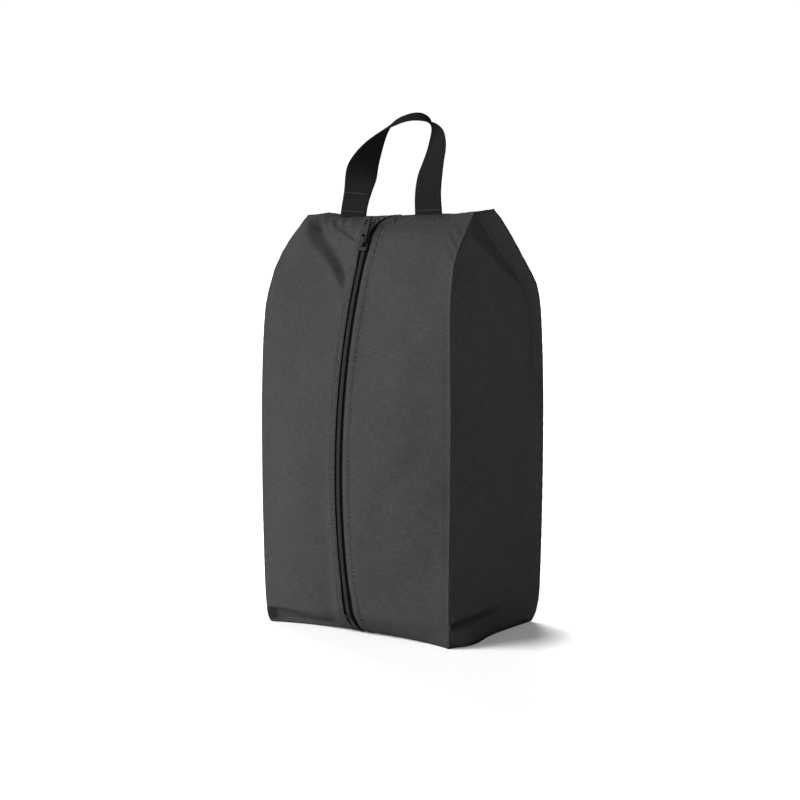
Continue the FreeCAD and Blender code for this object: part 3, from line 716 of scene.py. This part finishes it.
def coil_piece(side, sgn, part):
    """One row of a coil zip: every turn is a flattened loop whose head hooks past the middle."""
    s0, s1 = 6.0, sfine[-1] - 4.0
    k0 = 0
    parts = []
    s = s0 + (PITCH / 2 if sgn > 0 else 0)
    while s < s1:
        if (part == "lower") == (s < S_AT200):
            q, t, n = along(s)
            base = q + n * COIL_BASE
            pts = []
            # over the front from the sewn edge to the head and back behind
            for x, h in ((1.75, 0.55), (1.7, 1.2), (1.35, 1.6), (0.75, 1.65), (-0.22, 1.4), (-0.42, 1.0), (-0.22, 0.6), (0.6, 0.35), (1.4, 0.3)):
                pts.append((sgn * x, base[0] + n[0] * h, base[1] + n[1] * h))
            parts.append(tube(pts, 0.34, 5))
        s += PITCH
    # sewing cord inside the row
    ss = np.arange(s0, s1, 2.0)
    ss = ss[(ss < S_AT200 + 1) if part == "lower" else (ss > S_AT200 - 1)]
    cp = []
    for s in ss:
        q, t, n = along(s)
        b = q + n * (COIL_BASE + 1.0)
        cp.append((sgn * 1.1, b[0], b[1]))
    parts.append(tube(cp, 0.42, 6))
    V, F = merge(parts)
    return make_obj("coil_%s_%s" % (side, part), V, F, M_COIL)


def stitch_piece(side, sgn, part):
    """Lockstitch along the lip: short sunk threads with small gaps."""
    P = fronts[side]
    s_rows = np.linspace(0, 1, NV)
    line, seamz, s = resample(LIPLINE, SEAMLINE, NV)
    Xr = np.abs(P[:, :, 0])
    xst = LIPX + STITCH[sgn]
    pos = np.zeros((NV, 3)); 
    for i in range(NV):
        for k in range(3):
            pos[i, k] = np.interp(xst, Xr[i], P[i, :, k])
    N = normals(P)
    if N[NV // 2, 10, 1] > 0:
        N = -N
    nrm = N[:, int(np.argmin(np.abs(COLS * 98.0 - STITCH[sgn])))]
    parts = []
    a = 10.0
    while a < s[-1] - 3:
        if (part == "lower") == (np.interp(a + 1.3, s, pos[:, 2]) < 200):
            pts, rad = [], []
            for e, h, r in ((0.0, -0.25, 0.16), (0.35, 0.05, 0.26), (1.3, 0.14, 0.30), (2.25, 0.05, 0.26), (2.6, -0.25, 0.16)):
                c = np.array([np.interp(a + e, s, pos[:, k]) for k in range(3)])
                m = np.array([np.interp(a + e, s, nrm[:, k]) for k in range(3)])
                pts.append(c + m * h); rad.append(r)
            parts.append(tube(pts, rad, 6))
        a += 3.0
    V, F = merge(parts)
    return make_obj("stitch_%s_%s" % (side, part), V, F, M_THREAD)


for side, sgn in (("left", -1), ("right", 1)):
    for part in ("lower", "upper"):
        end = "foot" if part == "lower" else "head"
        ob = tape_piece(side, sgn, part)
        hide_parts("zip_tape_" + side, "zip_tape_%s_%s" % (end, side))
        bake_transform(ob)
        ob = coil_piece(side, sgn, part)
        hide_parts("zip_coil_" + side, "zip_coil_%s_%s" % (end, side))
        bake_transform(ob)
        ob = stitch_piece(side, sgn, part)
        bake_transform(ob)

# ------------------------------------------------------------------ handle
# Front edge and back edge of the webbing, foot to foot (mm).
LOOP_F = np.array([(-56.0, -22.8, 389.1),
                   (-55.6, -21.4, 398.7),
                   (-54.9, -19.6, 408.3),
                   (-53.8, -19.1, 418.0),
                   (-51.2, -21.0, 427.3),
                   (-46.3, -24.5, 435.3),
                   (-39.7, -26.9, 442.3),
                   (-32.2, -28.6, 448.3),
                   (-24.1, -29.7, 453.6),
                   (-15.7, -30.3, 458.5),
                   (-7.0, -30.3, 462.8),
                   (2.0, -29.7, 466.5),
                   (11.2, -28.8, 469.6),
                   (20.4, -27.6, 472.5),
                   (29.8, -25.8, 474.0),
                   (39.0, -22.7, 473.4),
                   (47.2, -18.1, 471.3),
                   (53.2, -13.6, 465.5),
                   (56.0, -12.7, 456.3),
                   (57.5, -14.2, 446.7),
                   (58.0, -17.2, 437.3),
                   (58.4, -20.1, 427.8),
                   (58.8, -22.5, 418.3),
                   (59.1, -24.0, 408.5),
                   (59.5, -24.0, 398.5),
                   (59.8, -23.1, 388.6)])
LOOP_B = np.array([(-26.1, -22.8, 388.5),
                   (-25.5, -20.9, 397.0),
                   (-25.0, -17.2, 405.7),
                   (-24.9, -13.1, 414.2),
                   (-26.1, -7.6, 421.6),
                   (-28.4, -2.1, 428.8),
                   (-28.3, 0.5, 437.7),
                   (-25.8, 0.8, 446.9),
                   (-22.4, 0.2, 455.9),
                   (-18.1, -1.0, 464.5),
                   (-12.2, -2.2, 472.1),
                   (-4.6, -2.7, 477.9),
                   (4.3, -1.9, 481.1),
                   (13.5, -0.4, 483.2),
                   (22.3, 2.1, 482.4),
                   (28.5, 5.2, 476.8),
                   (29.3, 5.6, 467.8),
                   (29.1, 3.0, 458.7),
                   (29.2, -0.7, 450.0),
                   (29.2, -5.5, 441.7),
                   (29.0, -10.6, 433.7),
                   (28.8, -15.7, 425.6),
                   (29.0, -19.1, 416.6),
                   (29.3, -21.5, 407.2),
                   (29.7, -22.9, 397.8),
                   (29.9, -22.8, 388.5)])
LOOP_F = np.vstack([LOOP_F[0] + (0, 0, -5.0), LOOP_F, LOOP_F[-1] + (0, 0, -5.0)])
LOOP_B = np.vstack([LOOP_B[0] + (0, 0, -5.0), LOOP_B, LOOP_B[-1] + (0, 0, -5.0)])


def spline(tab, t, n):
    """Cubic through the rows with tangents from their neighbours, at n even parameters."""
    d = np.gradient(tab, t, axis=0)
    x = np.linspace(t[0], t[-1], n)
    i = np.clip(np.searchsorted(t, x) - 1, 0, len(t) - 2)
    h = (t[i + 1] - t[i])[:, None]
    s = ((x - t[i]) / (t[i + 1] - t[i]))[:, None]
    return ((2 * s**3 - 3 * s**2 + 1) * tab[i] + (s**3 - 2 * s**2 + s) * h * d[i]
            + (-2 * s**3 + 3 * s**2) * tab[i + 1] + (s**3 - s**2) * h * d[i + 1]), x


def handle_mesh(n=230, m=25, w=30.0, th=1.5):
    mid = (LOOP_F + LOOP_B) / 2
    t = np.r_[0, np.cumsum(np.linalg.norm(np.diff(mid, axis=0), axis=1))]
    Fe, s = spline(LOOP_F, t, n)
    Be, s = spline(LOOP_B, t, n)
    for _ in range(6):
        Fe[1:-1] = Fe[1:-1] * 0.5 + (Fe[:-2] + Fe[2:]) * 0.25
        Be[1:-1] = Be[1:-1] * 0.5 + (Be[:-2] + Be[2:]) * 0.25
    C = (Fe + Be) / 2
    T = np.gradient(C, axis=0); T /= np.linalg.norm(T, axis=1, keepdims=True)
    Wd = Be - Fe
    Wd -= T * (Wd * T).sum(1, keepdims=True); Wd /= np.linalg.norm(Wd, axis=1, keepdims=True)
    N = np.cross(T, Wd)
    a = np.linspace(-1, 1, m)
    prof = th / 2 * (1 - 0.35 * np.abs(a) ** 10)
    wav = field(95, 8, 18, 60)
    V, UV = [], []
    for sgn in (1, -1):
        for i in range(n):
            for j in range(m):
                h = sgn * prof[j] + 0.28 * wav(s[i], a[j] * 15.0) * min(1, i / 20, (n - 1 - i) / 20)
                V.append(C[i] + Wd[i] * (a[j] * w / 2) + N[i] * h)
                UV.append((a[j] * w / 2, s[i]))
    F = []
    k = n * m
    for i in range(n - 1):
        for j in range(m - 1):
            q = i * m + j
            F.append((q, q + 1, q + m + 1, q + m))
            F.append((k + q, k + q + m, k + q + m + 1, k + q + 1))
        q = i * m
        F.append((q, q + m, k + q + m, k + q))
        q = i * m + m - 1
        F.append((q, k + q, k + q + m, q + m))
    for j in range(m - 1):
        F.append((j, k + j, k + j + 1, j + 1))
        q = (n - 1) * m + j
        F.append((q, q + 1, k + q + 1, k + q))
    return make_obj("handle_loop", V, F, M_WEB, np.array(UV)), C, Wd, N, s


ob, HC, HW, HN, HS = handle_mesh()
bv = ob.data
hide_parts("handle_webbing")
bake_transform(ob)


def handle_stitches(name, at, h0):
    """A row of thread across the webbing, about at mm from one end, on both faces."""
    parts = []
    for face in (1, -1):
        x = -13.0
        while x < 12.5:
            pts = []
            for e, h in ((0.0, -0.1), (0.4, 0.10), (1.2, 0.16), (2.0, 0.10), (2.4, -0.1)):
                c = np.array([np.interp(at, HS, HC[:, k]) for k in range(3)])
                w = np.array([np.interp(at, HS, HW[:, k]) for k in range(3)])
                n = np.array([np.interp(at, HS, HN[:, k]) for k in range(3)])
                pts.append(c + w * (x + e) + n * face * (0.75 + h))
            parts.append(tube(pts, 0.22, 6))
            x += 2.9
    V, F = merge(parts)
    return make_obj(name, V, F, M_THREAD)


for name, at, side in (("handle_stitch_left", 26.0, "left"), ("handle_stitch_left_low", 8.4, "left"),
                       ("handle_stitch_right_low", HS[-1] - 8.4, "right")):
    ob = handle_stitches(name, at, 0)
    if name.endswith("low"):
        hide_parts("handle_seam_" + side)
    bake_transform(ob)

# ------------------------------------------------------------------ small CAD pieces
def repaint(node, mat):
    o = next(x for x in bpy.data.objects if x.get("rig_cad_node") == node)
    o.data.materials.clear()
    o.data.materials.append(mat)
    return o


for n in ("slider_body", "pull_tab", "zip_stop_top", "zip_stop_bottom"):
    o = repaint(n, M_METAL)
    b = o.modifiers.new("edge", "BEVEL"); b.width = 0.00028; b.segments = 2; b.limit_method = "ANGLE"; b.angle_limit = math.radians(40)


def binding_piece(side, sgn, n=150, k=16):
    """Tape folded over the back seam's raw edge: a squarish roll that pinches unevenly where it is sewn."""
    z = np.linspace(32.0, 284.0, n)
    a = np.linspace(0, 2 * math.pi, k, endpoint=False)
    r = ripple(101 + (sgn > 0), 9.0)(z)
    sx_ = np.sign(np.cos(a)) * np.abs(np.cos(a)) ** 0.6
    sy_ = np.sign(np.sin(a)) * np.abs(np.sin(a)) ** 0.6
    V = [(sgn * 100.1 + 1.42 * (1 - 0.07 * abs(r[i])) * sx_[j], 74.5 + 1.42 * (1 - 0.10 * abs(r[i])) * sy_[j], z[i])
         for i in range(n) for j in range(k)]
    F = [(i * k + j, i * k + (j + 1) % k, (i + 1) * k + (j + 1) % k, (i + 1) * k + j) for i in range(n - 1) for j in range(k)]
    F += [tuple(range(k))[::-1], tuple(range((n - 1) * k, n * k))]
    uv = [(1.5 * a[j], z[i]) for i in range(n) for j in range(k)]
    return make_obj("binding_" + side, V, F, M_BIND, np.array(uv))


for side, sgn in (("left", -1), ("right", 1)):
    ob = binding_piece(side, sgn)
    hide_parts("seam_binding_" + side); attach(ob, "bag")

# ------------------------------------------------------------------ stage, light, camera
def area(name, loc, target, size, power, color=(1, 1, 1)):
    l = bpy.data.lights.new(name, "AREA"); l.shape = "RECTANGLE"; l.size, l.size_y = size
    l.energy = power; l.color = color
    o = bpy.data.objects.new(name, l); o.location = loc
    o.rotation_euler = (Vector(target) - Vector(loc)).to_track_quat("-Z", "Y").to_euler()
    bpy.context.scene.collection.objects.link(o)
    return o


fm, nt, bs = new_mat("floor_pale")
bs.inputs["Base Color"].default_value = (0.80, 0.80, 0.80, 1); bs.inputs["Roughness"].default_value = 0.9
bs.inputs["Specular IOR Level"].default_value = 0.05
me = bpy.data.meshes.new("floor")
me.from_pydata([(60 * math.cos(a), 60 * math.sin(a), 0) for a in np.linspace(0, 2 * math.pi, 64, endpoint=False)], [], [tuple(range(64))])
me.materials.append(fm)
floor = bpy.data.objects.new("floor", me); bpy.context.scene.collection.objects.link(floor)

# white near the horizon, dimmer overhead
w = bpy.data.worlds.new("studio"); bpy.context.scene.world = w; w.use_nodes = True
nt = w.node_tree; bg = nt.nodes["Background"]
tc = nt.nodes.new("ShaderNodeTexCoord"); sp = nt.nodes.new("ShaderNodeSeparateXYZ")
nt.links.new(tc.outputs["Generated"], sp.inputs[0])
mr = nt.nodes.new("ShaderNodeMapRange"); mr.interpolation_type = "SMOOTHSTEP"
nt.links.new(sp.outputs[2], mr.inputs[0])
mr.inputs["From Min"].default_value = 0.22; mr.inputs["From Max"].default_value = 0.36
mr.inputs["To Min"].default_value = 1.02; mr.inputs["To Max"].default_value = 0.08
nt.links.new(mr.outputs[0], bg.inputs[1])
bg.inputs[0].default_value = (1, 1, 1, 1)

sl = bpy.data.lights.new("key", "SUN"); sl.energy = 10.2; sl.angle = math.radians(40)
so = bpy.data.objects.new("key", sl)
so.rotation_euler = Vector((0.60, 0.75, -0.28)).to_track_quat("-Z", "Y").to_euler()
bpy.context.scene.collection.objects.link(so)

fl = bpy.data.lights.new("fill", "SUN"); fl.energy = 3.8; fl.angle = math.radians(50)
fo = bpy.data.objects.new("fill", fl)
fo.rotation_euler = Vector((-0.46, 0.88, -0.10)).to_track_quat("-Z", "Y").to_euler()
bpy.context.scene.collection.objects.link(fo)

bl = bpy.data.lights.new("back", "SUN"); bl.energy = 8.0; bl.angle = math.radians(40)
bo = bpy.data.objects.new("back", bl)
bo.rotation_euler = Vector((0.74, -0.66, -0.42)).to_track_quat("-Z", "Y").to_euler()
bpy.context.scene.collection.objects.link(bo)

cam = bpy.data.cameras.new("cam"); cam.lens = 75.5; cam.sensor_width = 36; cam.clip_start = 0.05; cam.clip_end = 50
co = bpy.data.objects.new("cam", cam)
co.location = (0.91455, -1.30440, 0.34507)
co.rotation_euler = (math.radians(90 - 4.725), 0, math.radians(35.132))
bpy.context.scene.collection.objects.link(co)
bpy.context.scene.camera = co
sc = bpy.context.scene
sc.view_settings.view_transform = "Standard"
sc.view_settings.look = "None"
